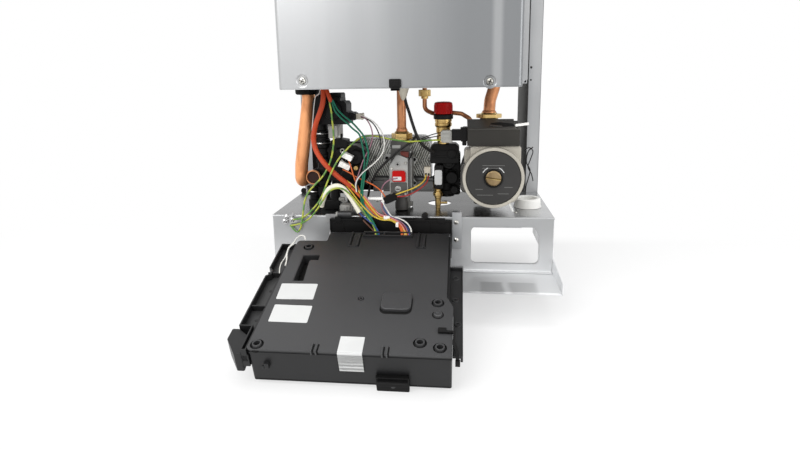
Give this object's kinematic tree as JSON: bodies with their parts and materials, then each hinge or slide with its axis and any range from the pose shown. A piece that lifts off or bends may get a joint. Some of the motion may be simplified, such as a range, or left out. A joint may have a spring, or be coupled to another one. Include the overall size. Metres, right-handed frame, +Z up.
{
  "type": "gas boiler",
  "caption": "Wall-hung gas boiler without its outer case: sealed chamber above, pipes, valves and pump on a sheet base, control box hinged down in front.",
  "frame": {"origin": "On the wall face of the base pan's back wall, at the middle of the width and 40 mm above the pan's underside.", "axes": "X to the right seen from the front, Y into the wall, Z up. The boiler hangs on the wall, with its control box hinged down."},
  "size_m": [0.4, 0.458, 0.7882],
  "materials": {
    "sheet": "galvanised sheet with soft vertical streaks",
    "dark_sheet": "darker satin sheet with soft reflections",
    "bright_sheet": "bright satin galvanised sheet",
    "screw_steel": "bright zinc plated steel",
    "stainless": "pressed stainless plate, satin",
    "copper": "drawn copper tube, slightly tarnished",
    "brass": "machined brass",
    "aluminium": "die-cast aluminium, matt",
    "grey_cast": "grey painted casting",
    "black_plastic": "black moulded plastic",
    "charcoal_plastic": "dark charcoal moulded plastic",
    "black_rubber": "black rubber",
    "white_plastic": "off-white moulded plastic",
    "grey_plastic": "grey moulded plastic",
    "red_plastic": "red moulded plastic",
    "board": "green circuit board with its parts"
  },
  "bodies": {
    "frame": {"base_pan": "sheet", "base_plate": "dark_sheet", "front_panel_left": "sheet", "front_panel_right": "sheet", "hinge_bracket": "sheet", "rail_left": "sheet", "rail_right": "sheet", "wall_bracket": "sheet", "chamber_body": "sheet", "chamber_cover": "bright_sheet", "cover_screw_left": "screw_steel", "cover_screw_right": "screw_steel", "cover_clip": "black_plastic", "hinge_crossbar": "black_plastic", "burner": "dark_sheet", "heat_exchanger": "copper", "combustion_hood": "sheet", "fan_housing": "aluminium", "flue_collar": "white_plastic", "flow_pipe": "copper", "pipe_grommet": "black_rubber", "gas_pipe": "copper", "gas_nut": "brass", "pump_pipe": "copper", "pump_nut": "brass", "pressure_pipe": "copper", "gas_valve": "aluminium", "gas_valve_coil": "red_plastic", "plate_exchanger": "stainless", "flow_group": "black_plastic", "flow_clip_upper": "screw_steel", "flow_clip_lower": "screw_steel", "flow_outlet": "black_plastic", "diverter_actuator": "black_plastic", "flow_sensor": "black_plastic", "sensor_plug_upper": "white_plastic", "sensor_plug_lower": "white_plastic", "return_group": "black_plastic", "safety_valve_body": "brass", "safety_valve_ring": "black_rubber", "pressure_switch": "black_plastic", "drain_fitting": "brass", "pump_housing": "black_plastic", "pump_motor": "grey_cast", "pump_face": "charcoal_plastic", "terminal_box": "charcoal_plastic", "plate_collar": "white_plastic", "tap_body": "brass"},
    "control_box": {"box_shell": "charcoal_plastic", "box_lid": "charcoal_plastic", "box_side_flange": "black_plastic", "box_front_bracket": "black_plastic", "box_latch": "black_plastic", "circuit_board": "board"},
    "control_knob_l": {"control_knob_left": "grey_plastic"},
    "control_knob_r": {"control_knob_right": "grey_plastic"},
    "fan_wheel": {"fan_impeller": "aluminium"},
    "pump_vent": {"pump_knob": "brass"},
    "safety_cap": {"safety_valve_cap": "red_plastic"},
    "filling_tap": {"tap_knob": "grey_plastic"}
  },
  "joints": [
    {"name": "control_box_hinge", "type": "hinge", "parent": "frame", "child": "control_box", "pos_m": [0, -0.23898, -0.00199], "axis": [-1, 0, 0], "range_deg": [0, 106]},
    {"name": "control_knob_left_turn", "type": "hinge", "parent": "control_box", "child": "control_knob_l", "pos_m": [-0.08996, -0.33357, -0.05814], "axis": [0, -0.2756, 0.9613], "range_deg": [0, 270]},
    {"name": "control_knob_right_turn", "type": "hinge", "parent": "control_box", "child": "control_knob_r", "pos_m": [-0.01993, -0.33357, -0.05814], "axis": [0, -0.2756, 0.9613], "range_deg": [0, 270]},
    {"name": "fan_spin", "type": "hinge", "parent": "frame", "child": "fan_wheel", "pos_m": [-0.007, -0.15, 0.572], "axis": [0, 1, 0], "continuous": true},
    {"name": "pump_vent_turn", "type": "hinge", "parent": "frame", "child": "pump_vent", "pos_m": [0.1154, -0.209, 0.0958], "axis": [0, 1, 0], "range_deg": [0, 300]},
    {"name": "safety_cap_turn", "type": "hinge", "parent": "frame", "child": "safety_cap", "pos_m": [0.046, -0.16, 0.185], "axis": [0, 0, 1], "range_deg": [0, 90]},
    {"name": "filling_tap_turn", "type": "hinge", "parent": "frame", "child": "filling_tap", "pos_m": [-0.0945, -0.185, 0.046], "axis": [0, 0, 1], "range_deg": [0, 270]}
  ]
}
